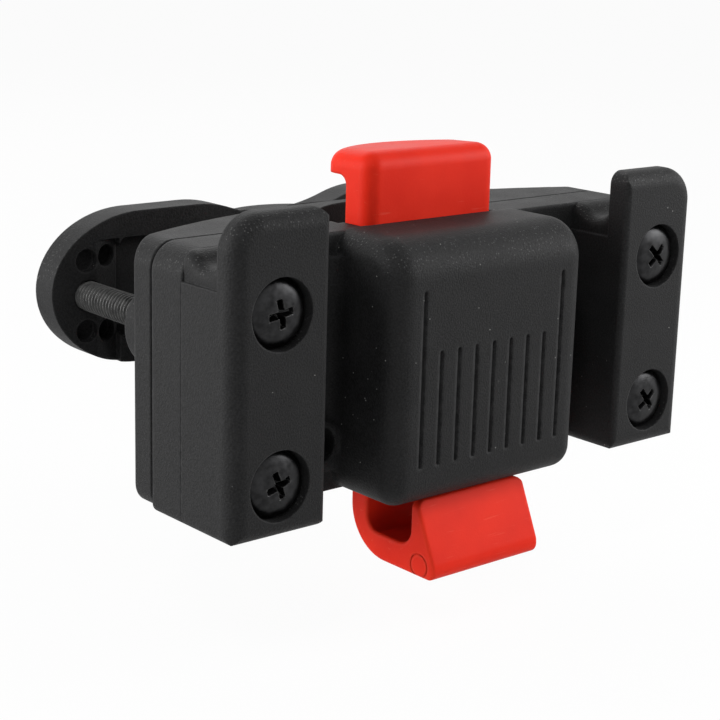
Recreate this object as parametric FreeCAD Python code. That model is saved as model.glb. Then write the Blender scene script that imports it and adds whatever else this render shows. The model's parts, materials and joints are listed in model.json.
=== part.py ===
"""Quick-release front basket mount that clamps on an upright tube.

Frame: +Z up, +Y to the rear, +X to the right seen from the front. The origin lies on the axis of the
clamped tube, level with the clamp bolts. Sizes are in millimetres.
"""
import FreeCAD, Part
import math
import os

Vec = FreeCAD.Vector

# Clamped tube
TUBE_R = 12.7
SADDLE_DEPTH = 1.2          # how deep the tube sits in the rear plate

# Body, across and upright
BODY_WIDTH = 115.2
BODY_TOP = 17.2             # above the clamp bolts
BODY_HEIGHT = 48.9
BODY_CORNER_R = 5.0
SEAM_CHAMFER = 0.2          # breaks the edges along the two seams
SEAM_GAP = 0.4              # shadow gap between base and rear plate
SEAM_DEPTH = 0.8

# Layers between the tube and the hook columns
PLATE_END_DEPTH = 5.4
PLATE_FOOT_R = 4.0
PLATE_EDGE_R = 1.4
PLATE_WALL = 3.0
BASE_DEPTH = 9.5

# Hook columns
COLUMN_WIDTH = 20.2
COLUMN_DEPTH = 15.0
COLUMN_EDGE_R = 3.2         # outer edge of the front
COLUMN_INNER_R = 1.2        # inner edge of the front
COLUMN_FOOT_R = 1.8
COLUMN_TOE_R = 2.6          # lower edge of the front
LIP_THICKNESS = 4.8
LIP_RISE = 7.8              # lip above the saddle
LIP_OUTER_R = 7.0
LIP_INNER_R = 2.6
GROOVE_R = 4.5              # hollow behind the lip
ROLL_R = 4.5                # rounded front of the saddle
SADDLE_STEP = 5.3           # depth of the inset saddle sides
SADDLE_INSET = 0.5
SADDLE_EDGE_R = 2.2

# Column screws, in the middle of each column's width
SCREW_EDGE = 9.45           # from the top and the foot of the body
SCREW_R = 2.5
SCREW_HEAD_R = 5.6
SCREW_HEAD_H = 3.6
SCREW_RIM_H = 1.0
SCREW_PLAY = 0.1            # of a screw's shank in its hole
SCREW_TIP_GAP = 1.2         # tip short of the rear plate
COUNTERBORE_R = 6.4
COUNTERBORE_DEPTH = 4.0
SCREW_TURNS_DEG = {(-1, 1): 10, (-1, -1): 15, (1, 1): 45, (1, -1): 35}

# Central housing
HOUSING_WIDTH = 48.0
HOUSING_PROUD = 2.4         # in front of the columns
HOUSING_RISE = 0.4          # above the base plate
HOUSING_ROLL_R = 7.5
HOUSING_FOOT_R = 4.6
HOUSING_EDGE_R = 4.2
HOUSING_ROOT_R = 3.0
HOUSING_WALL = 3.2
HOUSING_RIB = 2.4
HOUSING_RIB_PITCH = 11.0

# Grip grooves on the front of the housing
GRIP_COUNT = 9
GRIP_PITCH = 4.37
GRIP_WIDTH = 0.95
GRIP_DEPTH = 0.7
GRIP_FOOT = 7.5             # lower ends above the foot of the body
GRIP_SHORT_TOP = 20.3       # upper ends below the top of the housing
GRIP_LONG_TOP = 9.0

# Screws that hold the rear plate, in pillars beside the housing
PILLAR_R = 4.4
PILLAR_LENGTH = 2.4
PILLAR_EDGE = 10.1          # from the foot of the body
PILLAR_SINK_R = 3.4
PILLAR_SINK_DEPTH = 3.4
PLATE_SCREW_R = 1.7
PLATE_SCREW_BITE = 8.9      # reach into the rear plate
PLATE_HEAD_R = 3.0
PLATE_HEAD_H = 2.2
PLATE_RIM_H = 0.7

# Release latch: thumb button
LATCH_CLEAR = 0.35          # play of the latch in its channel
LATCH_TRAVEL = 10.0
BUTTON_WIDTH = 32.6
BUTTON_THICKNESS = 6.4
BUTTON_RISE = 13.6          # above the body, at the front
BUTTON_SKIRT = 14.4         # below the top of the body
BUTTON_FRONT_R = 3.0        # upright front edges
BUTTON_EDGE_R = 3.2         # round the top
SHELF_DROP = 4.9            # underside of the thumb shelf below the top of the button
SHELF_FALL = 0.9            # the top falls this much to the rear
SHELF_R = 23.2
SHELF_CORNER_R = 4.5
SHELF_ROOT_R = 2.0          # under the shelf
SHELF_GAP = 6.3             # shelf to the rear wall of the thumb pocket
POCKET_SIDE = 1.7           # thumb pocket wider than the button
POCKET_WALL = 2.65
POCKET_DEPTH = 12.0

# Release latch: slider and hook
SLIDER_SET_BACK = 1.0
SLIDER_THICKNESS = 4.6
GUIDE_PITCH = 20.0          # rails that the slider's back runs on
GUIDE_WIDTH = 3.0
HOOK_INSET = 2.5            # narrower than the button at each end
HOOK_DROP = 15.3            # underside of the hook below the body
HOOK_FLOOR = 5.2
HOOK_MOUTH = 12.6           # clear depth between arm and lip
HOOK_LIP_GAP = 0.7          # lip top below the body
HOOK_LIP_TOP = 1.5
HOOK_LIP_FOOT = 6.7
HOOK_LEAN_RISE = 2.8
HOOK_HEEL_R = 9.8
HOOK_TOE_R = 1.8
HOOK_LEAN_R = 3.0
HOOK_INNER_R = 3.3
HOOK_LIP_R = 0.7
HOOK_CORNER_R = 2.5
HOOK_EDGE_R = 0.6
GATE_R = 2.4
GATE_LINE = 0.3

# Latch spring and its seat
SPRING_R = 3.2
SPRING_WIRE_R = 0.4
SPRING_TURNS = 6
SPRING_LENGTH = 17.0
SPRING_PLAY = 0.05          # between the spring's ends and their seats
SEAT_HEIGHT = 4.7
SEAT_DROP = 33.4            # seat below the top of the body
SEAT_STOP_GAP = 0.3
SPIGOT_PLAY = 0.5
SPIGOT_H = 2.5
WINDOW_PLAY = 1.2

# Clamp bolts, nuts and washers
BOLT_INSET = 9.6            # from the ends of the body
BOLT_R = 2.95
BOLT_PAST = 2.3             # tip past the nut
BOLT_HEAD_R = 5.0
BOLT_HEAD_H = 6.0
BOLT_SOCKET = 5.0           # across flats
BOLT_SOCKET_DEPTH = 3.2
BOLT_CHAMFER = 0.6
BOLT_FIT = 0.1              # round the bolt in the nuts and the yoke
BOLT_HOLE_R = 3.5
BOSS_R = 8.7
BOSS_LENGTH = 9.5
NUT_FLATS = 10.0
NUT_HEIGHT = 5.0
NUT_PLAY = 0.1
WASHER_R = 5.6
WASHER_PLAY = 0.35          # round the bolt
WASHER_H = 1.2

# Clamp yoke
YOKE_SET_BACK = 4.9         # front of the wings behind the tube axis
YOKE_THICKNESS = 7.5
YOKE_WALL = 4.2             # round the tube
YOKE_LIFT = 0.6             # middle of the yoke above the bolts
YOKE_TIP = 7.8              # past the bolts
YOKE_HALF_HEIGHT = 15.1
YOKE_WAIST = 11.2           # half height at the middle
YOKE_WAIST_HALF = 18.0
YOKE_END_RUN = 19.5
YOKE_SHOULDER_R = 26.0      # where the waist begins
YOKE_RIM = 5.0
YOKE_EDGE_R = 1.0
YOKE_SINK_R = 5.9           # hollows for washers and bolt heads
YOKE_SINK_DEPTH = 3.2
RECESS_DEPTH = 2.6
RECESS_FROM_HUB = 3.1
RECESS_FROM_BOLT = 7.0
RECESS_CORNER_R = 1.5
RIDGE_FROM_BOLT = 1.7
OUTER_FACET_DEG = 4.0
INNER_FACET_DEG = 16.0
BLIND_HOLES = (             # inwards from the bolt, half spacing, radius, depth
    (-0.4, 6.9, 2.3, 1.8),
    (4.3, 7.4, 2.2, 3.8),
)

# Places that follow from the sizes above
HALF = BODY_WIDTH / 2
BODY_BOTTOM = BODY_TOP - BODY_HEIGHT
BUTTON_HALF = BUTTON_WIDTH / 2
POCKET_R = BUTTON_HALF + POCKET_SIDE
POCKET_LEAD = BASE_DEPTH - LATCH_CLEAR - BUTTON_THICKNESS
PLATE_MID_DEPTH = POCKET_R + POCKET_WALL + SADDLE_DEPTH - POCKET_LEAD
PLATE_BACK = SADDLE_DEPTH - TUBE_R
PLATE_FRONT = PLATE_BACK - PLATE_MID_DEPTH
PLATE_SAGITTA = PLATE_MID_DEPTH - PLATE_END_DEPTH
PLATE_ARC_R = (HALF ** 2 + PLATE_SAGITTA ** 2) / (2 * PLATE_SAGITTA)
BASE_FRONT = PLATE_FRONT - BASE_DEPTH
COLUMN_FRONT = BASE_FRONT - COLUMN_DEPTH
COLUMN_IN = HALF - COLUMN_WIDTH
LIP_BACK = COLUMN_FRONT + LIP_THICKNESS
LIP_TOP = BODY_TOP + LIP_RISE
SADDLE_FOOT = BODY_TOP - SADDLE_STEP
SCREW_X = HALF - COLUMN_WIDTH / 2
SCREW_SEAT = COLUMN_FRONT + COUNTERBORE_DEPTH
HOUSING_HALF = HOUSING_WIDTH / 2
HOUSING_FRONT = COLUMN_FRONT - HOUSING_PROUD
HOUSING_TOP = BODY_TOP + HOUSING_RISE
PILLAR_X = HOUSING_HALF + PILLAR_R
PILLAR_FRONT = BASE_FRONT - PILLAR_LENGTH
PILLAR_SEAT = PILLAR_FRONT + PILLAR_SINK_DEPTH
BUTTON_FRONT = BASE_FRONT + LATCH_CLEAR
BUTTON_BACK = BUTTON_FRONT + BUTTON_THICKNESS
BUTTON_TOP = BODY_TOP + BUTTON_RISE
BUTTON_BOTTOM = BODY_TOP - BUTTON_SKIRT
SHELF_LOW = BUTTON_TOP - SHELF_DROP
SHELF_BACK = BUTTON_BACK + POCKET_R - SHELF_GAP
POCKET_FLOOR = BODY_TOP - POCKET_DEPTH
SLIDER_FRONT = BUTTON_FRONT + SLIDER_SET_BACK
SLIDER_BACK = SLIDER_FRONT + SLIDER_THICKNESS
SLIDER_MID = (SLIDER_FRONT + SLIDER_BACK) / 2
CHANNEL_LEDGE = BUTTON_BOTTOM - LATCH_TRAVEL - WINDOW_PLAY
HOOK_HALF = BUTTON_HALF - HOOK_INSET
HOOK_BOTTOM = BODY_BOTTOM - HOOK_DROP
HOOK_INSIDE = HOOK_BOTTOM + HOOK_FLOOR
LIP_INSIDE = SLIDER_FRONT - HOOK_MOUTH
LIP_FRONT = LIP_INSIDE - HOOK_LIP_FOOT
HOOK_LIP_Z = BODY_BOTTOM - HOOK_LIP_GAP
SEAT_TOP = BODY_TOP - SEAT_DROP
SEAT_BOTTOM = SEAT_TOP - SEAT_HEIGHT
WINDOW_TOP = SEAT_TOP + SPRING_LENGTH
BOLT_X = HALF - BOLT_INSET
YOKE_FRONT = YOKE_SET_BACK
YOKE_BACK = YOKE_FRONT + YOKE_THICKNESS
YOKE_LOW = YOKE_LIFT - YOKE_HALF_HEIGHT
YOKE_HIGH = YOKE_LIFT + YOKE_HALF_HEIGHT
HUB_R = TUBE_R + YOKE_WALL
WASHER_SEAT = YOKE_BACK - YOKE_SINK_DEPTH
BOLT_SEAT = WASHER_SEAT + WASHER_H
BOLT_END = PLATE_FRONT - BOLT_PAST
PAST = 1.0                  # how far a cutting shape runs past the face that it opens


def at(axis, u, v, w):
    """Point at height w on an axis, u and v across it in X, Y, Z order."""
    return {"x": Vec(w, u, v), "y": Vec(u, w, v), "z": Vec(u, v, w)}[axis]


def line(axis, a, b, w):
    return Part.LineSegment(at(axis, *a, w), at(axis, *b, w)).toShape()


def arc(axis, a, middle, b, w):
    return Part.Arc(at(axis, *a, w), at(axis, *middle, w), at(axis, *b, w)).toShape()


def extrude(axis, edges, start, end):
    """Closed edges, drawn at height start, pulled to height end."""
    return Part.Face(Part.Wire(edges)).extrude(at(axis, 0, 0, end - start))


def outline(axis, corners, height):
    """Edges of a polygon. A corner is (u, v), or (u, v, radius) where it is rounded."""
    joints = []
    for index, corner in enumerate(corners):
        here = Vec(corner[0], corner[1], 0)
        radius = corner[2] if len(corner) > 2 else 0
        back = (Vec(*corners[index - 1][:2], 0) - here).normalize()
        ahead = (Vec(*corners[(index + 1) % len(corners)][:2], 0) - here).normalize()
        half = back.getAngle(ahead) / 2
        reach = radius / math.tan(half)
        middle = here
        if radius:
            middle = here + (back + ahead).normalize() * (radius / math.sin(half) - radius)
        joints.append([(p.x, p.y) for p in (here + back * reach, middle, here + ahead * reach)])
    edges = []
    for index, (enter, middle, leave) in enumerate(joints):
        if enter != leave:
            edges.append(arc(axis, enter, middle, leave, height))
        edges.append(line(axis, leave, joints[(index + 1) % len(joints)][0], height))
    return edges


def prism(axis, corners, start, end):
    return extrude(axis, outline(axis, corners, start), start, end)


def box(x0, x1, y0, y1, z0, z1):
    return Part.makeBox(x1 - x0, y1 - y0, z1 - z0, Vec(x0, y0, z0))


def rod(axis, u, v, radius, start, end):
    return Part.makeCylinder(radius, end - start, at(axis, u, v, start), at(axis, 0, 0, 1))


def hexagon(axis, u, v, flats, start, end):
    reach = flats / math.sqrt(3)
    turns = [math.pi * k / 3 for k in range(6)]
    return prism(axis, [(u + reach * math.cos(a), v + reach * math.sin(a)) for a in turns], start, end)


def corner_cut(axis, u, v, toward_u, toward_v, radius, start, end):
    """What a rounded outer corner loses; the corner is at u, v and the solid lies toward_u, toward_v."""
    inner = (u + toward_u * radius, v + toward_v * radius)
    square = prism(axis, [(u, v), (inner[0], v), inner, (u, inner[1])], start, end)
    return square.cut(rod(axis, *inner, radius, start, end))


def edges_where(shape, test):
    """Edges whose points all pass a test."""
    return [e for e in shape.Edges if all(test(p) for p in e.discretize(5))]


def near(a, b):
    return abs(a - b) < 1e-4


def mirrored(shape):
    return shape.mirror(Vec(0, 0, 0), Vec(1, 0, 0))


def body_outline(foot_r, start, end, inset=0):
    """Outline of the body as seen from the front, pulled along Y and moved in by inset all round."""
    half = HALF - inset
    foot = (BODY_BOTTOM + inset, foot_r - inset)
    top = (BODY_TOP - inset, BODY_CORNER_R - inset)
    return prism("y", [(-half, *foot), (half, *foot), (half, *top), (-half, *top)], start, end)


def screw_places():
    """Side, level, x and z of the four column screws."""
    levels = {1: BODY_TOP - SCREW_EDGE, -1: BODY_BOTTOM + SCREW_EDGE}
    return [(side, level, side * SCREW_X, z) for side in (-1, 1) for level, z in levels.items()]


def pillar_places():
    return [(side * PILLAR_X, BODY_BOTTOM + PILLAR_EDGE) for side in (-1, 1)]


def thumb_pocket(front, back):
    """Half-round pocket behind the button, between two depths."""
    pocket = rod("z", 0, BUTTON_BACK, POCKET_R, POCKET_FLOOR, BODY_TOP + PAST)
    return pocket.common(box(-POCKET_R, POCKET_R, front, back, POCKET_FLOOR, BODY_TOP + PAST))


def column_saddle():
    """Saddle behind the lip: a hollow at the lip that runs into a rounded rise."""
    run = COLUMN_DEPTH - LIP_THICKNESS - GROOVE_R
    turn = math.asin(run / (GROOVE_R + ROLL_R))
    low = BODY_TOP - (GROOVE_R + ROLL_R) * (1 - math.cos(turn))
    hollow = (LIP_BACK + GROOVE_R, low + GROOVE_R)
    crown = (BASE_FRONT, BODY_TOP - ROLL_R)
    on_hollow = [(hollow[0] + GROOVE_R * math.sin(a), hollow[1] - GROOVE_R * math.cos(a))
                 for a in (turn, (turn - math.pi / 2) / 2, -math.pi / 2)]
    crown_middle = (crown[0] - ROLL_R * math.sin(turn / 2), crown[1] + ROLL_R * math.cos(turn / 2))
    inside = LIP_BACK - LIP_THICKNESS / 2
    back_top = (BASE_FRONT, BODY_TOP)
    start = COLUMN_IN + SADDLE_INSET
    profile = [
        line("x", (inside, SADDLE_FOOT), (BASE_FRONT, SADDLE_FOOT), start),
        line("x", (BASE_FRONT, SADDLE_FOOT), back_top, start),
        arc("x", back_top, crown_middle, on_hollow[0], start),
        arc("x", on_hollow[0], on_hollow[1], on_hollow[2], start),
        line("x", on_hollow[2], (inside, on_hollow[2][1]), start),
        line("x", (inside, on_hollow[2][1]), (inside, SADDLE_FOOT), start),
    ]
    saddle = extrude("x", profile, start, HALF - SADDLE_INSET)
    rims = [e for e in saddle.Edges if e.Curve.TypeId == "Part::GeomCircle"]
    return saddle.makeFillet(SADDLE_EDGE_R, rims)


def column_right():
    lip = prism("y", [(COLUMN_IN, BODY_BOTTOM), (HALF, BODY_BOTTOM), (HALF, LIP_TOP, LIP_OUTER_R),
                      (COLUMN_IN, LIP_TOP)], COLUMN_FRONT, LIP_BACK)
    front_edge = edges_where(lip, lambda p: near(p.y, COLUMN_FRONT) and near(p.x, HALF))
    lip = lip.makeFillet(COLUMN_EDGE_R, front_edge)
    block = box(COLUMN_IN, HALF, LIP_BACK, BASE_FRONT, BODY_BOTTOM, SADDLE_FOOT)
    column = lip.fuse([block, column_saddle()]).removeSplitter()
    cuts = [corner_cut("y", COLUMN_IN, LIP_TOP, 1, -1, LIP_INNER_R, COLUMN_FRONT, LIP_BACK),
            corner_cut("z", COLUMN_IN, COLUMN_FRONT, 1, 1, COLUMN_INNER_R, BODY_BOTTOM, LIP_TOP),
            corner_cut("x", COLUMN_FRONT, BODY_BOTTOM, 1, 1, COLUMN_TOE_R, COLUMN_IN, HALF),
            corner_cut("y", COLUMN_IN, BODY_BOTTOM, 1, 1, COLUMN_FOOT_R, COLUMN_FRONT, BASE_FRONT),
            corner_cut("y", HALF, BODY_BOTTOM, -1, 1, COLUMN_FOOT_R, COLUMN_FRONT, BASE_FRONT)]
    for side, _, x, z in screw_places():
        if side > 0:
            cuts.append(rod("y", x, z, COUNTERBORE_R, COLUMN_FRONT, SCREW_SEAT))
            cuts.append(rod("y", x, z, SCREW_R + SCREW_PLAY, COLUMN_FRONT, BASE_FRONT))
    return column.cut(cuts)


def housing_block():
    """Outer form of the central housing with its grip grooves."""
    back = BASE_FRONT + SEAM_CHAMFER
    profile = [(HOUSING_FRONT, BODY_BOTTOM, HOUSING_FOOT_R), (HOUSING_FRONT, HOUSING_TOP, HOUSING_ROLL_R),
               (back, HOUSING_TOP), (back, BODY_BOTTOM)]
    block = prism("x", profile, -HOUSING_HALF, HOUSING_HALF)
    ends = edges_where(block, lambda p: near(abs(p.x), HOUSING_HALF) and near(p.y, HOUSING_FRONT))
    block = block.makeFillet(HOUSING_EDGE_R, ends)
    grips = []
    for index in range(GRIP_COUNT):
        x = (index - (GRIP_COUNT - 1) / 2) * GRIP_PITCH
        low = BODY_BOTTOM + GRIP_FOOT
        high = HOUSING_TOP - (GRIP_LONG_TOP if index in (0, GRIP_COUNT - 1) else GRIP_SHORT_TOP)
        corners = [(x + s * GRIP_WIDTH / 2, z, GRIP_WIDTH * 0.49) for s, z in
                   ((-1, low), (1, low), (1, high), (-1, high))]
        grips.append(prism("y", corners, HOUSING_FRONT - PAST, HOUSING_FRONT + GRIP_DEPTH))
    return block.cut(grips)


def housing_cavity():
    """Hollow of the housing, open to the rear, less its upright ribs."""
    inner = HOUSING_HALF - HOUSING_WALL
    cavity = box(-inner, inner, HOUSING_FRONT + HOUSING_WALL, BASE_FRONT,
                 BODY_BOTTOM + HOUSING_WALL, HOUSING_TOP - HOUSING_WALL)
    ribs = [box(x - HOUSING_RIB / 2, x + HOUSING_RIB / 2, HOUSING_FRONT, BASE_FRONT,
                BODY_BOTTOM, HOUSING_TOP) for x in (-HOUSING_RIB_PITCH, 0, HOUSING_RIB_PITCH)]
    return cavity.cut(ribs)


def spring_seat():
    """Bracket that carries the spring and stops the latch at the top of its travel."""
    bracket = box(-SPRING_R, SPRING_R, BASE_FRONT, SLIDER_MID + SPRING_R, SEAT_BOTTOM, SEAT_TOP)
    spigot_r = SPRING_R - 2 * SPRING_WIRE_R - SPIGOT_PLAY
    return bracket.fuse(rod("z", 0, SLIDER_MID, spigot_r, SEAT_TOP, SEAT_TOP + SPIGOT_H))


def base_housing():
    plate = body_outline(COLUMN_FOOT_R, BASE_FRONT, PLATE_FRONT - SEAM_GAP)
    rims = edges_where(plate, lambda p: near(p.y, BASE_FRONT) or near(p.y, PLATE_FRONT - SEAM_GAP))
    plate = plate.makeChamfer(SEAM_CHAMFER, rims)
    tongue = body_outline(COLUMN_FOOT_R, PLATE_FRONT - SEAM_GAP, PLATE_FRONT, SEAM_DEPTH)
    roots = [corner_cut("z", side * HOUSING_HALF, BASE_FRONT, side, -1, HOUSING_ROOT_R,
                        BODY_BOTTOM + HOUSING_EDGE_R, BODY_TOP - HOUSING_EDGE_R) for side in (-1, 1)]
    pillars = [rod("y", x, z, PILLAR_R, PILLAR_FRONT, BASE_FRONT) for x, z in pillar_places()]
    base = plate.fuse([tongue, housing_block()] + roots + pillars).removeSplitter()

    wide = BUTTON_HALF + LATCH_CLEAR
    narrow = HOOK_HALF + LATCH_CLEAR
    cuts = [housing_cavity(),
            box(-wide, wide, BASE_FRONT, PLATE_FRONT, CHANNEL_LEDGE, HOUSING_TOP + PAST),
            box(-narrow, narrow, BASE_FRONT, PLATE_FRONT, BODY_BOTTOM - PAST, CHANNEL_LEDGE),
            thumb_pocket(BUTTON_BACK, PLATE_FRONT)]
    for x, z in pillar_places():
        cuts.append(rod("y", x, z, PILLAR_SINK_R, PILLAR_FRONT, PILLAR_SEAT))
        cuts.append(rod("y", x, z, PLATE_SCREW_R + SCREW_PLAY, PILLAR_FRONT, PLATE_FRONT))
    for _, _, x, z in screw_places():
        cuts.append(rod("y", x, z, SCREW_R + SCREW_PLAY, BASE_FRONT, PLATE_FRONT))
    for x in (-BOLT_X, BOLT_X):
        cuts.append(rod("y", x, 0, BOLT_HOLE_R, BASE_FRONT, PLATE_FRONT))
    return base.cut(cuts).fuse(spring_seat()).removeSplitter()


def plate_plan(inset, half, z0, z1):
    """Plan of the rear plate, its bowed back moved in by inset."""
    radius = PLATE_ARC_R - inset
    middle = PLATE_BACK - PLATE_ARC_R
    end = middle + math.sqrt(radius ** 2 - half ** 2)
    plan = [line("z", (-half, PLATE_FRONT), (half, PLATE_FRONT), z0),
            line("z", (half, PLATE_FRONT), (half, end), z0),
            arc("z", (half, end), (0, middle + radius), (-half, end), z0),
            line("z", (-half, end), (-half, PLATE_FRONT), z0)]
    return extrude("z", plan, z0, z1)


def plate_hollows():
    """Core-outs on the hidden front of the rear plate, between its ribs, pillars and pocket walls."""
    core = plate_plan(PLATE_WALL, BOLT_X - BOSS_R, BODY_BOTTOM + PLATE_WALL, BODY_TOP - PLATE_WALL)
    keep = [rod("y", x, z, PILLAR_R, PLATE_FRONT, PLATE_BACK) for x, z in pillar_places()]
    keep.append(rod("z", 0, BUTTON_BACK, POCKET_R + PLATE_WALL, POCKET_FLOOR - PLATE_WALL, BODY_TOP))
    keep.append(rod("z", 0, 0, TUBE_R + PLATE_WALL, BODY_BOTTOM, BODY_TOP))
    for x, width in ((POCKET_R, PLATE_WALL), (GUIDE_PITCH / 2, GUIDE_WIDTH)):
        for side in (-1, 1):
            keep.append(box(side * x - width / 2, side * x + width / 2, PLATE_FRONT, PLATE_BACK,
                            BODY_BOTTOM, BODY_TOP))
    return core.cut(keep)


def guide_rails():
    """Rails on the rear plate that the slider's back runs on."""
    front = SLIDER_BACK + LATCH_CLEAR
    return [box(x - GUIDE_WIDTH / 2, x + GUIDE_WIDTH / 2, front, PLATE_FRONT + PLATE_WALL,
                BODY_BOTTOM + PLATE_WALL, CHANNEL_LEDGE) for x in (-GUIDE_PITCH / 2, GUIDE_PITCH / 2)]


def rear_plate():
    plate = plate_plan(0, HALF, BODY_BOTTOM, BODY_TOP)
    plate = plate.common(body_outline(PLATE_FOOT_R, PLATE_FRONT, PLATE_BACK))
    front = edges_where(plate, lambda p: near(p.y, PLATE_FRONT))
    plate = plate.makeChamfer(SEAM_CHAMFER, front)
    back = edges_where(plate, lambda p: near(math.hypot(p.x, p.y - PLATE_BACK + PLATE_ARC_R), PLATE_ARC_R))
    plate = plate.makeFillet(PLATE_EDGE_R, back)
    boss_face = PLATE_FRONT + BOSS_LENGTH
    nut_floor = PLATE_FRONT + NUT_HEIGHT + NUT_PLAY
    hole_end = PLATE_FRONT + PLATE_SCREW_BITE + SCREW_PLAY
    bosses = [rod("y", x, 0, BOSS_R, PLATE_FRONT + SEAM_CHAMFER, boss_face) for x in (-BOLT_X, BOLT_X)]
    plate = plate.fuse(bosses).removeSplitter()
    cuts = [plate_hollows(), thumb_pocket(PLATE_FRONT, PLATE_BACK + PAST),
            rod("z", 0, 0, TUBE_R, BODY_BOTTOM - PAST, BODY_TOP + PAST)]
    for x in (-BOLT_X, BOLT_X):
        cuts.append(rod("y", x, 0, BOLT_HOLE_R, PLATE_FRONT, PLATE_BACK))
        cuts.append(hexagon("y", x, 0, NUT_FLATS + 2 * NUT_PLAY, PLATE_FRONT, nut_floor))
    for x, z in pillar_places():
        cuts.append(rod("y", x, z, PLATE_SCREW_R + SCREW_PLAY, PLATE_FRONT, hole_end))
    return plate.cut(cuts).fuse(guide_rails()).removeSplitter()


def latch_button():
    """Thumb button: a wall with a shelf to the rear, its top falling towards the shelf's round edge."""
    middle = SHELF_BACK - SHELF_R
    end = middle + math.sqrt(SHELF_R ** 2 - BUTTON_HALF ** 2)
    fall = SHELF_FALL / (SHELF_BACK - BUTTON_FRONT)
    plan = [line("z", (-BUTTON_HALF, BUTTON_FRONT), (BUTTON_HALF, BUTTON_FRONT), BUTTON_BOTTOM),
            line("z", (BUTTON_HALF, BUTTON_FRONT), (BUTTON_HALF, end), BUTTON_BOTTOM),
            arc("z", (BUTTON_HALF, end), (0, SHELF_BACK), (-BUTTON_HALF, end), BUTTON_BOTTOM),
            line("z", (-BUTTON_HALF, end), (-BUTTON_HALF, BUTTON_FRONT), BUTTON_BOTTOM)]
    button = extrude("z", plan, BUTTON_BOTTOM, BUTTON_TOP + PAST)
    for y, radius in ((BUTTON_FRONT, BUTTON_FRONT_R), (end, SHELF_CORNER_R)):
        upright = edges_where(button, lambda p: near(p.y, y) and near(abs(p.x), BUTTON_HALF))
        button = button.makeFillet(radius, upright)
    above = [(BUTTON_FRONT, BUTTON_TOP), (SHELF_BACK, BUTTON_TOP - SHELF_FALL),
             (SHELF_BACK, BUTTON_TOP + 2 * PAST), (BUTTON_FRONT, BUTTON_TOP + 2 * PAST)]
    button = button.cut(prism("x", above, -BUTTON_HALF - PAST, BUTTON_HALF + PAST))
    top = edges_where(button, lambda p: near(p.z, BUTTON_TOP - fall * (p.y - BUTTON_FRONT)))
    button = button.makeFillet(BUTTON_EDGE_R, top)
    under = box(-BUTTON_HALF - PAST, BUTTON_HALF + PAST, BUTTON_BACK, SHELF_BACK + PAST,
                BUTTON_BOTTOM - PAST, SHELF_LOW)
    root = edges_where(under, lambda p: near(p.y, BUTTON_BACK) and near(p.z, SHELF_LOW))
    return button.cut(under.makeFillet(SHELF_ROOT_R, root))


def hook_profile():
    """J section of the hook: arm at the rear, floor, and a lip that leans back to its top."""
    return [(SLIDER_BACK, BUTTON_BOTTOM), (SLIDER_BACK, HOOK_BOTTOM, HOOK_HEEL_R),
            (LIP_FRONT, HOOK_BOTTOM, HOOK_TOE_R), (LIP_FRONT, HOOK_BOTTOM + HOOK_LEAN_RISE, HOOK_LEAN_R),
            (LIP_INSIDE - HOOK_LIP_TOP, HOOK_LIP_Z, HOOK_LIP_R), (LIP_INSIDE, HOOK_LIP_Z, HOOK_LIP_R),
            (LIP_INSIDE, HOOK_INSIDE, HOOK_INNER_R), (SLIDER_FRONT, HOOK_INSIDE, HOOK_INNER_R),
            (SLIDER_FRONT, BUTTON_BOTTOM)]


def gate_mark():
    """Ring that the moulding gate leaves on the left end of the hook."""
    y = LIP_FRONT + HOOK_LIP_FOOT * 0.6
    z = HOOK_BOTTOM + HOOK_LEAN_RISE * 0.8
    ring = rod("x", y, z, GATE_R, -HOOK_HALF - PAST, GATE_LINE - HOOK_HALF)
    return ring.cut(rod("x", y, z, GATE_R - GATE_LINE, -HOOK_HALF - PAST, GATE_LINE - HOOK_HALF))


def release_latch():
    hook = prism("x", hook_profile(), -HOOK_HALF, HOOK_HALF)
    ends = edges_where(hook, lambda p: near(abs(p.x), HOOK_HALF) and p.y < LIP_INSIDE - 1e-3)
    hook = hook.makeFillet(HOOK_EDGE_R, ends)
    hook = hook.cut([corner_cut("y", side * HOOK_HALF, HOOK_LIP_Z, -side, -1, HOOK_CORNER_R,
                                LIP_FRONT - PAST, LIP_INSIDE + PAST) for side in (-1, 1)])
    latch = hook.fuse(latch_button()).removeSplitter()
    window_half = SPRING_R + WINDOW_PLAY
    window = box(-window_half, window_half, BUTTON_FRONT - PAST, BUTTON_BACK + PAST,
                 SEAT_BOTTOM - SEAT_STOP_GAP, WINDOW_TOP)
    return latch.cut([window, gate_mark()])


def latch_spring():
    """Open coil between the seat and the top of the latch's window."""
    low = SEAT_TOP + SPRING_PLAY + SPRING_WIRE_R
    height = SPRING_LENGTH - 2 * (SPRING_PLAY + SPRING_WIRE_R)
    coil_r = SPRING_R - SPRING_WIRE_R
    path = Part.Wire(Part.makeHelix(height / SPRING_TURNS, height, coil_r).Edges)
    wire = Part.Wire(Part.makeCircle(SPRING_WIRE_R, Vec(coil_r, 0, 0), Vec(0, 1, 0)))
    coil = path.makePipeShell([wire], True, True)
    coil.translate(Vec(0, SLIDER_MID, low))
    return coil


def cross_recess(half, width, depth):
    """Cross-shaped driver recess, its arms tapering to the bottom."""
    arm = [(-half, 0), (half, 0), (half * 0.45, depth), (-half * 0.45, depth)]
    one = prism("x", arm, -width / 2, width / 2)
    other = prism("x", arm, -width / 2, width / 2)
    other.rotate(Vec(0, 0, 0), Vec(0, 0, 1), 90)
    hub = Part.makeCone(width * 1.1, width * 0.4, depth)
    return one.fuse([other, hub])


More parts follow.
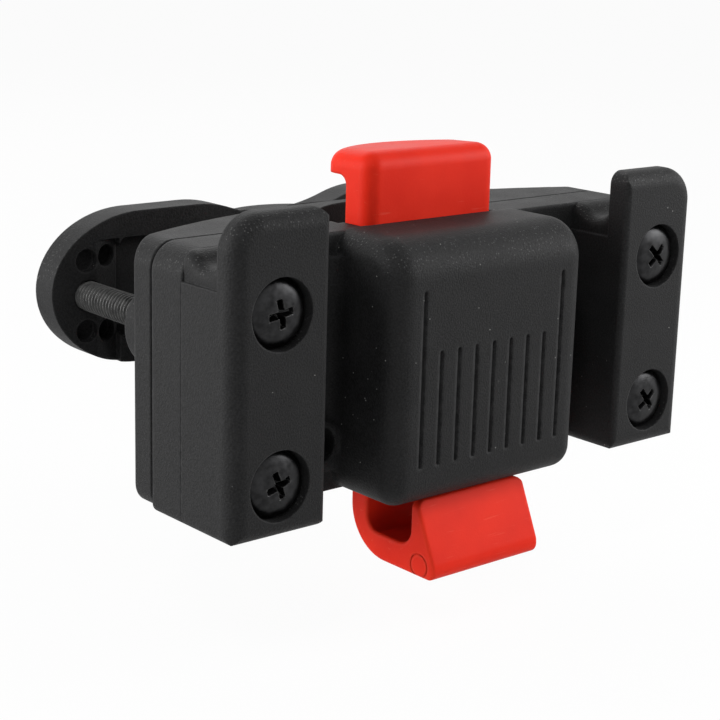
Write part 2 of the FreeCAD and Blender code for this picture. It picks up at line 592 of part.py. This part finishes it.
def pan_screw(head_r, head_h, rim_h, shank_r, length, turn_deg):
    """Pan-head screw along +Y from the underside of its head, the head towards -Y."""
    dome_h = head_h - rim_h
    dome_r = (head_r ** 2 + dome_h ** 2) / (2 * dome_h)
    rise = math.asin(head_r / dome_r) / 2
    on_dome = (dome_r * math.sin(rise), dome_r - head_h - dome_r * math.cos(rise))
    profile = [line("y", (0, -head_h), (0, 0), 0),
               line("y", (0, 0), (head_r, 0), 0),
               line("y", (head_r, 0), (head_r, -rim_h), 0),
               arc("y", (head_r, -rim_h), on_dome, (0, -head_h), 0)]
    head = Part.Face(Part.Wire(profile)).revolve(Vec(0, 0, 0), Vec(0, 0, 1), 360)
    recess = cross_recess(head_r * 0.55, head_r * 0.24, head_h * 0.62)
    recess.translate(Vec(0, 0, -head_h))
    recess.rotate(Vec(0, 0, 0), Vec(0, 0, 1), turn_deg)
    point = shank_r / 2
    shank = Part.makeCylinder(shank_r, length - point)
    tip = Part.makeCone(shank_r, shank_r - point, point, Vec(0, 0, length - point))
    screw = head.fuse([shank, tip]).removeSplitter().cut(recess)
    screw.rotate(Vec(0, 0, 0), Vec(1, 0, 0), -90)
    return screw


def column_screws():
    length = PLATE_FRONT - SCREW_TIP_GAP - SCREW_SEAT
    screws = []
    for side, level, x, z in screw_places():
        turn = SCREW_TURNS_DEG[side, level]
        screw = pan_screw(SCREW_HEAD_R, SCREW_HEAD_H, SCREW_RIM_H, SCREW_R, length, turn)
        screw.translate(Vec(x, SCREW_SEAT, z))
        screws.append(screw)
    return Part.Compound(screws)


def plate_screws():
    length = PLATE_FRONT + PLATE_SCREW_BITE - PILLAR_SEAT
    screws = []
    for x, z in pillar_places():
        screw = pan_screw(PLATE_HEAD_R, PLATE_HEAD_H, PLATE_RIM_H, PLATE_SCREW_R, length, x + z)
        screw.translate(Vec(x, PILLAR_SEAT, z))
        screws.append(screw)
    return Part.Compound(screws)


def clamp_bolt(x):
    head_end = BOLT_SEAT + BOLT_HEAD_H
    head = rod("y", x, 0, BOLT_HEAD_R, BOLT_SEAT, head_end)
    head = head.makeChamfer(BOLT_CHAMFER, edges_where(head, lambda p: near(p.y, head_end)))
    shank = rod("y", x, 0, BOLT_R, BOLT_END, BOLT_SEAT)
    shank = shank.makeChamfer(BOLT_CHAMFER, edges_where(shank, lambda p: near(p.y, BOLT_END)))
    socket = hexagon("y", x, 0, BOLT_SOCKET, head_end - BOLT_SOCKET_DEPTH, head_end)
    return head.fuse(shank).removeSplitter().cut(socket)


def clamp_nuts():
    nuts = []
    for x in (-BOLT_X, BOLT_X):
        nut = hexagon("y", x, 0, NUT_FLATS, PLATE_FRONT, PLATE_FRONT + NUT_HEIGHT)
        nuts.append(nut.cut(rod("y", x, 0, BOLT_R + BOLT_FIT, PLATE_FRONT, PLATE_FRONT + NUT_HEIGHT)))
    return Part.Compound(nuts)


def bolt_washers():
    washers = []
    for x in (-BOLT_X, BOLT_X):
        disc = rod("y", x, 0, WASHER_R, WASHER_SEAT, BOLT_SEAT)
        washers.append(disc.cut(rod("y", x, 0, BOLT_R + WASHER_PLAY, WASHER_SEAT, BOLT_SEAT)))
    return Part.Compound(washers)


def yoke_bar():
    """Bar with a waist at the tube and elliptic ends, rounded along its back."""
    shoulder = BOLT_X + YOKE_TIP - YOKE_END_RUN
    edges = []
    for side in (1, -1):
        level = YOKE_LIFT + side * YOKE_HALF_HEIGHT
        edges.append(arc("y", (-YOKE_WAIST_HALF, level), (0, YOKE_LIFT + side * YOKE_WAIST),
                         (YOKE_WAIST_HALF, level), YOKE_FRONT))
        for end in (-1, 1):
            edges.append(line("y", (end * YOKE_WAIST_HALF, level), (end * shoulder, level), YOKE_FRONT))
        wing = Part.Ellipse(Vec(0, 0, 0), YOKE_END_RUN, YOKE_HALF_HEIGHT)
        half = Part.ArcOfEllipse(wing, -math.pi / 2, math.pi / 2).toShape()
        half.rotate(Vec(0, 0, 0), Vec(1, 0, 0), 90)
        if side < 0:
            half.rotate(Vec(0, 0, 0), Vec(0, 1, 0), 180)
        half.translate(Vec(side * shoulder, YOKE_FRONT, YOKE_LIFT))
        edges.append(half)
    bar = Part.Face(Part.Wire(Part.sortEdges(edges)[0])).extrude(Vec(0, YOKE_THICKNESS, 0))
    bar = bar.makeFillet(YOKE_SHOULDER_R, edges_where(bar, lambda p: near(abs(p.x), YOKE_WAIST_HALF)))
    return bar.makeFillet(YOKE_EDGE_R, edges_where(bar, lambda p: near(p.y, YOKE_BACK)))


def yoke_facets():
    """Wedges off the front of the right wing: it falls away on both sides of a ridge."""
    ridge = BOLT_X - RIDGE_FROM_BOLT
    out = BOLT_X + YOKE_TIP + PAST
    inner_x = BOLT_X - RECESS_FROM_BOLT
    outer_drop = (out - ridge) * math.tan(math.radians(OUTER_FACET_DEG))
    inner_drop = (ridge - inner_x) * math.tan(math.radians(INNER_FACET_DEG))
    outer = [(ridge, YOKE_FRONT), (out, YOKE_FRONT), (out, YOKE_FRONT + outer_drop)]
    inner = [(ridge, YOKE_FRONT), (inner_x, YOKE_FRONT), (inner_x, YOKE_FRONT + inner_drop)]
    return [prism("z", outer, YOKE_LOW - PAST, YOKE_HIGH + PAST),
            prism("z", inner, YOKE_LOW - PAST, YOKE_HIGH - YOKE_RIM)]


def yoke_recess():
    """Core-out of the right wing, between the tube and the ridge."""
    near_x = HUB_R + RECESS_FROM_HUB
    far_x = BOLT_X - RECESS_FROM_BOLT
    corners = [(x, z, RECESS_CORNER_R) for x, z in
               ((near_x, YOKE_LOW + YOKE_RIM), (far_x, YOKE_LOW + YOKE_RIM),
                (far_x, YOKE_HIGH - YOKE_RIM), (near_x, YOKE_HIGH - YOKE_RIM))]
    return prism("y", corners, YOKE_FRONT, YOKE_FRONT + RECESS_DEPTH)


def clamp_yoke():
    hub_low = YOKE_LIFT - YOKE_WAIST
    hub_high = YOKE_LIFT + YOKE_WAIST
    hub = rod("z", 0, 0, HUB_R, hub_low, hub_high)
    hub = hub.common(box(-HUB_R, HUB_R, YOKE_FRONT, HUB_R, hub_low, hub_high))
    yoke = yoke_bar().fuse(hub).removeSplitter()
    right = yoke_facets() + [yoke_recess(), rod("y", BOLT_X, 0, BOLT_R + BOLT_FIT, YOKE_FRONT, YOKE_BACK),
                             rod("y", BOLT_X, 0, YOKE_SINK_R, WASHER_SEAT, YOKE_BACK)]
    for inward, spacing, radius, depth in BLIND_HOLES:
        for level in (-1, 1):
            right.append(rod("y", BOLT_X - inward, level * spacing, radius, YOKE_FRONT, YOKE_FRONT + depth))
    cuts = right + [mirrored(shape) for shape in right]
    cuts.append(rod("z", 0, 0, TUBE_R, YOKE_LOW - PAST, YOKE_HIGH + PAST))
    return yoke.cut(cuts)


def build():
    right = column_right()
    return {
        "base_housing": base_housing(),
        "column_left": mirrored(right),
        "column_right": right,
        "column_screws": column_screws(),
        "rear_plate": rear_plate(),
        "plate_screws": plate_screws(),
        "release_latch": release_latch(),
        "latch_spring": latch_spring(),
        "clamp_yoke": clamp_yoke(),
        "clamp_bolt_left": clamp_bolt(-BOLT_X),
        "clamp_bolt_right": clamp_bolt(BOLT_X),
        "clamp_nuts": clamp_nuts(),
        "bolt_washers": bolt_washers(),
    }


os.makedirs("parts", exist_ok=True)
for name, shape in build().items():
    shape.exportStep(f"parts/{name}.step")
    print(name, len(shape.Solids), "solids", round(shape.Volume), "mm3, valid:", shape.isValid())
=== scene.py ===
"""Looks of the front basket mount: materials, screws, bolt threads, latch spring, studio and camera.

Metres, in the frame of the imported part: +Z up, -Y to the front, with the clamped tube along Z
through the origin.
"""
import json
import math

import bmesh
import bpy
from mathutils import Matrix, Vector


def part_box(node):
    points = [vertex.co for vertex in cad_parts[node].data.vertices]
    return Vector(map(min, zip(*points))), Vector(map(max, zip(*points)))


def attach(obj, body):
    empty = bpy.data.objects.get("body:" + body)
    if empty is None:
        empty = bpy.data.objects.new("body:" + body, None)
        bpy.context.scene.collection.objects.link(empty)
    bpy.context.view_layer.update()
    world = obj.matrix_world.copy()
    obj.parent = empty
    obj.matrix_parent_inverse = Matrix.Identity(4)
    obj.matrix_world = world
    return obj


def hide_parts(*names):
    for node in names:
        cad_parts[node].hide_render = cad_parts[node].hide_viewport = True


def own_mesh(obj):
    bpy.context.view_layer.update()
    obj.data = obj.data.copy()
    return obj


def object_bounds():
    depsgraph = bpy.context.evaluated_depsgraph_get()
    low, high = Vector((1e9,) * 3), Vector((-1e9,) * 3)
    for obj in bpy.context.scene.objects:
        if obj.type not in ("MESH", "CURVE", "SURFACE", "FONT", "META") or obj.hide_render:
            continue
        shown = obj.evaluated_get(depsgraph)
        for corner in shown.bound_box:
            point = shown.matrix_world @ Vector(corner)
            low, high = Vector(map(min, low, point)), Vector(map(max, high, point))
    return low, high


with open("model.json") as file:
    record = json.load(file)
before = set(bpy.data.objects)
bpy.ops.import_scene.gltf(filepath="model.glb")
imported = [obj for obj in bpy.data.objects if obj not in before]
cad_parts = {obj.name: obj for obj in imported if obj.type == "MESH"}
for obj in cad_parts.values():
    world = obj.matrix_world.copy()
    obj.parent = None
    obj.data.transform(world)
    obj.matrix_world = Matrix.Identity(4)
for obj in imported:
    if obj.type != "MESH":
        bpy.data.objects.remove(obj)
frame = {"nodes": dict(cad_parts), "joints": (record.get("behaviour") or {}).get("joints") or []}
cad_low, cad_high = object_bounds()
MM = 0.001

# Camera, at the photograph's viewing angle, with angles in degrees
CAMERA_AT = Vector((-219.5, -275.7, 72.2)) * MM
CAMERA_AZIMUTH = -40.598
CAMERA_ELEVATION = 14.414
CAMERA_ROLL = 1.552
CAMERA_LENS = 86.37
CAMERA_NEAR = 10 * MM

# Threads of the bolts and the column screws
THREAD_PITCH = 1.0 * MM
THREAD_DEPTH = 0.55 * MM
THREAD_ROOT = 0.06          # half the flat of the root, as a share of the pitch
THREAD_FLANK = 0.36         # one flank, as a share of the pitch
THREAD_ROWS_PER_PITCH = 8
THREAD_SIDES = 48
TIP_CHAMFER = 0.6 * MM
HEAD_OVERLAP = 0.3 * MM     # of a new shank with its head
HEAD_MARGIN = 0.5 * MM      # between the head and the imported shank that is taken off
WELD_DISTANCE = 0.001 * MM

# Column screws: pan heads with a cross recess
PAN_RIM_H = 1.9 * MM
PAN_HEAD_H = 3.8 * MM
PAN_SPREAD = 0.3 * MM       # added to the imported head's radius
PAN_RIM_SHARE = 0.9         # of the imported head's radius, beyond which a point is on its rim
PAN_SIDES = 96
PAN_RINGS = 52
RECESS_REACH = 2.6 * MM     # from the axis to the end of a wing
RECESS_HALF = 0.62 * MM     # half a wing's width
RECESS_DEPTH = 2.4 * MM
RECESS_END_DEPTH = 0.9 * MM
RECESS_WALL = 0.3 * MM      # run of its sloping side
SCREW_TURNS_DEG = {(-1, 1): 10, (-1, -1): 20, (1, 1): 45, (1, -1): 38}    # by side and level

SHARP_ANGLE = math.radians(30)

# Edge rounding that the shaders show
EDGE_R = 0.5 * MM
RIB_EDGE_R = 1.1 * MM
LATCH_EDGE_R = 0.9 * MM
METAL_EDGE_R = 0.18 * MM

# Floor, which glows for the camera so that it is white where no shadow falls
FLOOR_RADIUS = 6.0
FLOOR_SIDES = 64
FLOOR_ROOM = 2 * MM         # under the hook when the latch is pressed
FLOOR_GLOW_SHARE = 0.95

# World's strength as light and as a seen background
WORLD_LIGHT = 0.32
WORLD_SEEN = 1.0

# Softboxes, aimed at the part's middle: place, width and height, watts
SOFTBOXES = {
    "softbox_back": (Vector((0.30, 0.60, 0.60)), (0.7, 0.5), 2.2),
    "softbox_left": (Vector((-0.68, 0.36, 0.20)), (0.5, 0.5), 6.2),
    "softbox_glint": (Vector((-0.50, -0.42, 0.66)), (0.12, 0.12), 1.3),
    "softbox_right": (Vector((0.26, -0.22, 0.14)), (0.18, 0.18), 0.95),
}


class Shading:
    """Short ways to add shader nodes to one material."""

    def __init__(self, name):
        self.material = bpy.data.materials.new(name)
        self.material.use_nodes = True
        self.tree = self.material.node_tree
        self.shader = self.tree.nodes["Principled BSDF"]
        self.place = self.add("TexCoord").outputs["Object"]

    def add(self, kind, **settings):
        made = self.tree.nodes.new("ShaderNode" + kind)
        for key, value in settings.items():
            setattr(made, key, value)
        return made

    def put(self, target, value):
        """Links an output to a socket, or sets the socket's own value."""
        if isinstance(value, bpy.types.NodeSocket):
            self.tree.links.new(value, target)
        else:
            target.default_value = value

    def set(self, **values):
        for key, value in values.items():
            self.put(self.shader.inputs[key.replace("_", " ")], value)

    def stretched(self, scale):
        """Texture place stretched along the axes."""
        mapping = self.add("Mapping")
        self.put(mapping.inputs["Vector"], self.place)
        mapping.inputs["Scale"].default_value = scale
        return mapping.outputs["Vector"]

    def noise(self, size, detail=2.0, place=None):
        """Noise whose features are about size across."""
        texture = self.add("TexNoise")
        self.put(texture.inputs["Vector"], place or self.place)
        texture.inputs["Scale"].default_value = 1 / size
        texture.inputs["Detail"].default_value = detail
        return texture.outputs["Fac"]

    def remap(self, value, low, high, to_low=0.0, to_high=1.0):
        made = self.add("MapRange")
        ends = {"From Min": low, "From Max": high, "To Min": to_low, "To Max": to_high}
        self.put(made.inputs["Value"], value)
        for key, end in ends.items():
            made.inputs[key].default_value = end
        return made.outputs["Result"]

    def calc(self, operation, a, b):
        made = self.add("Math", operation=operation)
        self.put(made.inputs[0], a)
        self.put(made.inputs[1], b)
        return made.outputs["Value"]

    def mix(self, factor, a, b):
        """Colour a where the factor is 0 and b where it is 1."""
        made = self.add("Mix", data_type="RGBA")
        self.put(made.inputs["Factor"], factor)
        for socket, colour in ((made.inputs[6], a), (made.inputs[7], b)):
            self.put(socket, colour if isinstance(colour, bpy.types.NodeSocket) else (*colour, 1))
        return made.outputs[2]

    def specks(self, spacing, size, share):
        """Scattered round specks, in a share of the cells of a random lattice."""
        cells = self.add("TexVoronoi")
        self.put(cells.inputs["Vector"], self.place)
        cells.inputs["Scale"].default_value = 1 / spacing
        near = self.remap(cells.outputs["Distance"], size / spacing, 0.6 * size / spacing)
        channels = self.add("SeparateColor")
        self.put(channels.inputs["Color"], cells.outputs["Color"])
        chosen = self.calc("LESS_THAN", channels.outputs["Red"], share)
        return self.calc("MULTIPLY", near, chosen)

    def rounded(self, radius):
        """Normals that run softly round the edges."""
        bevel = self.add("Bevel", samples=4)
        bevel.inputs["Radius"].default_value = radius
        return bevel.outputs["Normal"]

    def edges(self, soft_normal, start, full):
        """1 on edges, where the soft normal departs from the true one, and 0 on faces."""
        dot = self.add("VectorMath", operation="DOT_PRODUCT")
        self.put(dot.inputs[0], soft_normal)
        self.put(dot.inputs[1], self.add("NewGeometry").outputs["Normal"])
        return self.remap(dot.outputs["Value"], start, full)

    def upper_edges(self):
        """1 on faces that lean upward, such as rounded upper edges, and 0 on level and upright ones."""
        axes = self.add("SeparateXYZ")
        self.put(axes.inputs["Vector"], self.add("NewGeometry").outputs["Normal"])
        off_upright = self.remap(axes.outputs["Z"], 0.12, 0.4)
        off_level = self.remap(axes.outputs["Z"], 0.97, 0.85)
        return self.calc("MULTIPLY", off_upright, off_level)

    def bump(self, height, distance, strength, normal=None):
        made = self.add("Bump")
        self.put(made.inputs["Height"], height)
        made.inputs["Distance"].default_value = distance
        made.inputs["Strength"].default_value = strength
        if normal:
            self.put(made.inputs["Normal"], normal)
        return made.outputs["Normal"]


def black_plastic(name, edge_radius):
    """Black glass-filled plastic: fine spark-eroded grain, slightly paler edges, a little dust, and
    painted highlight specks on faces that lean upward.
    """
    s = Shading(name)
    soft = s.rounded(edge_radius)
    patches = s.noise(9 * MM, detail=4)
    grain = s.noise(0.34 * MM, detail=3)
    edge = s.edges(soft, 0.998, 0.90)
    worn = s.calc("MULTIPLY", edge, s.remap(s.noise(1.6 * MM, detail=4), 0.35, 0.7, 0.1, 0.7))
    dust = s.specks(1.5 * MM, 0.15 * MM, 0.09)
    colour = s.mix(s.remap(patches, 0.35, 0.65), (0.0088, 0.0088, 0.0090), (0.0128, 0.0128, 0.0130))
    colour = s.mix(s.remap(grain, 0.35, 0.75, 0, 0.5), colour, (0.034, 0.034, 0.035))
    colour = s.mix(worn, colour, (0.06, 0.06, 0.061))
    # Painted highlight: pale specks on faces that lean upward stand in for the grain's glints under
    # light from above
    wear_and_painted_sparkle = s.calc("MULTIPLY", s.upper_edges(), s.specks(0.5 * MM, 0.17 * MM, 0.4))
    colour = s.mix(s.calc("MULTIPLY", wear_and_painted_sparkle, 0.6), colour, (0.10, 0.10, 0.10))
    colour = s.mix(s.calc("MULTIPLY", dust, 0.8), colour, (0.30, 0.30, 0.29))
    normal = s.bump(grain, 0.12 * MM, 1.0, soft)
    s.set(Base_Color=colour, Normal=normal, Roughness=s.remap(patches, 0.3, 0.7, 0.5, 0.6))
    s.set(Specular_IOR_Level=0.1)
    return s.material


def red_plastic():
    """Red plastic with a satin skin: slight flow marks, fine scratches and a painted highlight of paler
    orange on its edges.
    """
    s = Shading("red_plastic_satin")
    soft = s.rounded(LATCH_EDGE_R)
    flow = s.noise(11 * MM, detail=3)
    skin = s.noise(0.3 * MM, detail=2)
    strokes = s.noise(1.0 * MM, detail=3, place=s.stretched((0.12, 1.0, 1.6)))
    scratch = s.remap(strokes, 0.66, 0.72)
    edge = s.edges(soft, 0.998, 0.92)
    colour = s.mix(s.remap(flow, 0.35, 0.65), (0.70, 0.020, 0.007), (0.77, 0.027, 0.010))
    # Painted highlight: every edge paler orange, standing in for light glowing along the rounded edges
    colour = s.mix(s.calc("MULTIPLY", edge, 0.5), colour, (0.90, 0.07, 0.03))
    colour = s.mix(s.calc("MULTIPLY", scratch, 0.2), colour, (0.85, 0.16, 0.11))
    roughness = s.calc("ADD", s.remap(flow, 0.3, 0.7, 0.42, 0.5), s.calc("MULTIPLY", scratch, 0.12))
    height = s.calc("SUBTRACT", skin, s.calc("MULTIPLY", scratch, 0.6))
    normal = s.bump(height, 0.05 * MM, 0.5, soft)
    s.set(Base_Color=colour, Normal=normal, Roughness=roughness)
    s.set(Specular_IOR_Level=0.09, Subsurface_Weight=0.1, Subsurface_Scale=1.0 * MM)
    s.set(Subsurface_Radius=(1.0, 0.2, 0.1))
    return s.material


def metal(name, dark, light, edge_colour, roughness):
    """Metal with a mottled coating that is rubbed bright on its edges."""
    s = Shading(name)
    soft = s.rounded(METAL_EDGE_R)
    mottle = s.noise(1.4 * MM, detail=5)
    fine = s.noise(0.12 * MM, detail=2)
    edge = s.edges(soft, 0.997, 0.90)
    wear_and_painted_sparkle = s.calc("MULTIPLY", edge, s.remap(mottle, 0.3, 0.65, 0.3, 0.9))
    colour = s.mix(s.remap(mottle, 0.35, 0.65), dark, light)
    colour = s.mix(wear_and_painted_sparkle, colour, edge_colour)
    normal = s.bump(fine, 0.01 * MM, 0.25, soft)
    s.set(Base_Color=colour, Normal=normal)
    s.set(Roughness=s.remap(mottle, 0.3, 0.7, roughness - 0.06, roughness + 0.08), Metallic=1.0)
    return s.material


def new_piece(name, mesh, body, node):
    """Smooth object from a mesh, which rides on a body in the place of a CAD node."""
    bmesh.ops.recalc_face_normals(mesh, faces=mesh.faces)
    data = bpy.data.meshes.new(name)
    mesh.to_mesh(data)
    mesh.free()
    data.shade_smooth()
    data.set_sharp_from_angle(angle=SHARP_ANGLE)
    piece = bpy.data.objects.new(name, data)
    bpy.context.scene.collection.objects.link(piece)
    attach(piece, body)
    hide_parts(node)
    return piece


def welded_copy(node):
    """The CAD node's mesh with its seams closed."""
    mesh = bmesh.new()
    mesh.from_mesh(frame["nodes"][node].data)
    bmesh.ops.remove_doubles(mesh, verts=mesh.verts, dist=WELD_DISTANCE)
    return mesh


def add_rings(mesh, rings):
    """Skin over rings of vertices, with a flat cap at both ends."""
    for lower, upper in zip(rings, rings[1:]):
        for side in range(len(lower)):
            after = (side + 1) % len(lower)
            mesh.faces.new((lower[side], upper[side], upper[after], lower[after]))
    mesh.faces.new(rings[0])
    mesh.faces.new(reversed(rings[-1]))


def thread_radius(full, turn, height, from_tip):
    """Radius of a thread at a share of a turn and a height, less at the chamfered tip."""
    phase = (height / THREAD_PITCH + turn) % 1
    flank = min(1, max(0, (abs(phase - 0.5) - THREAD_ROOT) / THREAD_FLANK))
    return min(full - THREAD_DEPTH * (1 - flank), full - TIP_CHAMFER + from_tip)


def add_thread(mesh, centre, radius, tip, root):
    """Threaded shank along Y, from its tip to its root in the head."""
    rows = math.ceil(abs(root - tip) / THREAD_PITCH * THREAD_ROWS_PER_PITCH)
    rings = []
    for row in range(rows + 1):
        y = tip + (root - tip) * row / rows
        ring = []
        for side in range(THREAD_SIDES):
            turn = side / THREAD_SIDES
            reach = thread_radius(radius, turn, y, abs(y - tip))
            angle = 2 * math.pi * turn
            ring.append(mesh.verts.new((centre.x + reach * math.cos(angle), y,
                                        centre.z + reach * math.sin(angle))))
        rings.append(ring)
    add_rings(mesh, rings)


def threaded_bolt(side):
    """Clamp bolt: the CAD bolt's head on a threaded shank."""
    name = f"clamp_bolt_{side}"
    low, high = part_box(name)
    centre = (low + high) / 2
    head_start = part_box("bolt_washers")[1].y
    mesh = welded_copy(name)
    shank = [v for v in mesh.verts if v.co.y < head_start - HEAD_MARGIN]
    radius = max(math.hypot(v.co.x - centre.x, v.co.z - centre.z) for v in shank)
    bmesh.ops.delete(mesh, geom=shank, context="VERTS")
    bmesh.ops.holes_fill(mesh, edges=[e for e in mesh.edges if e.is_boundary])
    add_thread(mesh, centre, radius, low.y, head_start + HEAD_OVERLAP)
    return new_piece(f"{name}_threaded", mesh, f"bolt_{side}", name)


def recess_depth(x, z):
    """Depth of a cross recess whose wings run along X and Z and rise towards their ends."""
    depth = 0
    for along, across in ((abs(x), abs(z)), (abs(z), abs(x))):
        inside = min(RECESS_HALF - across, RECESS_REACH - along) / RECESS_WALL
        floor = RECESS_DEPTH + (RECESS_END_DEPTH - RECESS_DEPTH) * along / RECESS_REACH
        depth = max(depth, floor * min(1, max(0, inside)))
    return depth


def add_pan_head(mesh, centre, seat, radius, turn):
    """Pan head on its seat, towards -Y, with round shoulders and a turned cross recess."""
    rings = []
    for step in range(1, PAN_RINGS + 1):
        share = math.sin(step / PAN_RINGS * math.pi / 2)
        height = PAN_RIM_H + (PAN_HEAD_H - PAN_RIM_H) * math.sqrt(max(0, 1 - share ** 2))
        ring = []
        for side in range(PAN_SIDES):
            angle = 2 * math.pi * side / PAN_SIDES
            reach = radius * share
            depth = recess_depth(reach * math.cos(angle - turn), reach * math.sin(angle - turn))
            ring.append(mesh.verts.new((centre.x + reach * math.cos(angle), seat - height + depth,
                                        centre.z + reach * math.sin(angle))))
        rings.append(ring)
    rings.append([mesh.verts.new((v.co.x, seat, v.co.z)) for v in rings[-1]])
    add_rings(mesh, rings)


def pan_screws():
    """Column screws: pan heads on threaded shanks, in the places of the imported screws."""
    low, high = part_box("column_screws")
    middle = (low + high) / 2
    points = [v.co for v in frame["nodes"]["column_screws"].data.vertices]
    mesh = bmesh.new()
    for (side, level), turn in SCREW_TURNS_DEG.items():
        own = [p for p in points if (p.x - middle.x) * side > 0 and (p.z - middle.z) * level > 0]
        left, right = min(p.x for p in own), max(p.x for p in own)
        radius = (right - left) / 2
        centre = Vector((left + radius, 0, max(p.z for p in own) - radius))
        reach = [(math.hypot(p.x - centre.x, p.z - centre.z), p.y) for p in own]
        seat = max(y for r, y in reach if r > PAN_RIM_SHARE * radius)
        shank_r = max(r for r, y in reach if y > seat + HEAD_OVERLAP)
        add_pan_head(mesh, centre, seat, radius + PAN_SPREAD, math.radians(turn))
        add_thread(mesh, centre, shank_r, high.y, seat - HEAD_OVERLAP)
    return new_piece("column_screws_pan_head", mesh, "body", "column_screws")


def latch_travel():
    """How far the latch goes down."""
    return next(joint["range_m"][1] for joint in frame["joints"] if joint["name"] == "latch_press")


def coil_spring():
    """Latch spring: a welded copy of the CAD spring, riding on the body, with a mesh of its own."""
    spring = new_piece("latch_spring_coil", welded_copy("latch_spring"), "body", "latch_spring")
    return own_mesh(spring)


def dress(obj, material):
    """The object in that material alone."""
    obj.data.materials.clear()
    obj.data.materials.append(material)


def dress_all():
    """Materials on every CAD node and on the new pieces."""
    plastic = black_plastic("black_plastic_grained", EDGE_R)
    ribbed = black_plastic("black_plastic_soft_ribs", RIB_EDGE_R)
    black = metal("black_oxide_steel", dark=(0.016, 0.016, 0.0165), light=(0.03, 0.03, 0.031),
                  edge_colour=(0.09, 0.09, 0.088), roughness=0.36)
    grey = metal("dull_grey_steel", dark=(0.035, 0.035, 0.035), light=(0.06, 0.06, 0.059),
                 edge_colour=(0.15, 0.15, 0.147), roughness=0.42)
    zinc = metal("zinc_steel", dark=(0.30, 0.30, 0.295), light=(0.42, 0.42, 0.41),
                 edge_colour=(0.62, 0.62, 0.61), roughness=0.34)
    looks = {"base_housing": ribbed, "release_latch": red_plastic(), "plate_screws": black,
             "clamp_nuts": zinc, "bolt_washers": grey}
    for name, obj in frame["nodes"].items():
        dress(obj, looks.get(name, plastic))
    made = [(pan_screws(), black, "black_steel"), (coil_spring(), zinc, "spring_steel"),
            (threaded_bolt("left"), grey, "black_steel"), (threaded_bolt("right"), grey, "black_steel")]
    for piece, material, slot in made:
        dress(piece, material)


def seen_directly(tree):
    """1 for camera, glossy and transmission rays, which see the white background."""
    path = tree.nodes.new("ShaderNodeLightPath")
    total = path.outputs["Is Camera Ray"]
    for kind in ("Is Glossy Ray", "Is Transmission Ray"):
        larger = tree.nodes.new("ShaderNodeMath")
        larger.operation = "MAXIMUM"
        tree.links.new(total, larger.inputs[0])
        tree.links.new(path.outputs[kind], larger.inputs[1])
        total = larger.outputs["Value"]
    return total


def studio_world():
    """Even light all round, seen as plain white."""
    world = bpy.data.worlds.new("studio")
    bpy.context.scene.world = world
    world.use_nodes = True
    tree = world.node_tree
    tree.nodes.clear()
    shades = []
    for strength in (WORLD_LIGHT, WORLD_SEEN):
        shade = tree.nodes.new("ShaderNodeBackground")
        shade.inputs["Color"].default_value = (1, 1, 1, 1)
        shade.inputs["Strength"].default_value = strength
        shades.append(shade)
    mix = tree.nodes.new("ShaderNodeMixShader")
    tree.links.new(seen_directly(tree), mix.inputs["Fac"])
    tree.links.new(shades[0].outputs["Background"], mix.inputs[1])
    tree.links.new(shades[1].outputs["Background"], mix.inputs[2])
    out = tree.nodes.new("ShaderNodeOutputWorld")
    tree.links.new(mix.outputs["Shader"], out.inputs["Surface"])


def studio_floor():
    """Pale floor under the part: white to the camera, with a soft shadow."""
    level = cad_low.z - latch_travel() - FLOOR_ROOM
    bpy.ops.mesh.primitive_circle_add(vertices=FLOOR_SIDES, radius=FLOOR_RADIUS, fill_type="NGON",
                                      location=(0, 0, level))
    floor = bpy.context.object
    floor.name = "studio_floor"
    s = Shading("pale_floor")
    s.set(Base_Color=(0.8, 0.8, 0.8, 1), Roughness=0.9, Specular_IOR_Level=0.0)
    glow = s.add("Emission")
    mix = s.add("MixShader")
    s.put(mix.inputs["Fac"], s.calc("MULTIPLY", seen_directly(s.tree), FLOOR_GLOW_SHARE))
    s.put(mix.inputs[1], s.shader.outputs["BSDF"])
    s.put(mix.inputs[2], glow.outputs["Emission"])
    s.put(s.tree.nodes["Material Output"].inputs["Surface"], mix.outputs["Shader"])
    dress(floor, s.material)


def studio_lamps():
    """Softboxes that light the part without being seen."""
    middle = (cad_low + cad_high) / 2
    for name, (place, size, watts) in SOFTBOXES.items():
        lamp = bpy.data.lights.new(name, "AREA")
        lamp.shape = "RECTANGLE"
        lamp.size, lamp.size_y = size
        lamp.energy = watts
        softbox = bpy.data.objects.new(name, lamp)
        bpy.context.scene.collection.objects.link(softbox)
        softbox.location = place
        softbox.rotation_mode = "QUATERNION"
        softbox.rotation_quaternion = (middle - place).to_track_quat("-Z", "Y")
        softbox.visible_camera = False


def photo_camera():
    """Camera where the photograph was taken from, with its slight roll."""
    azimuth = math.radians(CAMERA_AZIMUTH)
    elevation = math.radians(CAMERA_ELEVATION)
    roll = math.radians(CAMERA_ROLL)
    back = Vector((math.sin(azimuth) * math.cos(elevation), -math.cos(azimuth) * math.cos(elevation),
                   math.sin(elevation)))
    level = Vector((math.cos(azimuth), math.sin(azimuth), 0))
    upright = back.cross(level)
    right = level * math.cos(roll) + upright * math.sin(roll)
    up = upright * math.cos(roll) - level * math.sin(roll)
    lens = bpy.data.cameras.new("photo_camera")
    lens.lens = CAMERA_LENS
    lens.clip_start = CAMERA_NEAR
    camera = bpy.data.objects.new("photo_camera", lens)
    bpy.context.scene.collection.objects.link(camera)
    camera.matrix_world = Matrix.Translation(CAMERA_AT) @ Matrix((right, up, back)).transposed().to_4x4()
    bpy.context.scene.camera = camera


dress_all()
studio_world()
studio_floor()
studio_lamps()
photo_camera()
bpy.context.scene.view_settings.view_transform = "Standard"

bpy.context.view_layer.update()
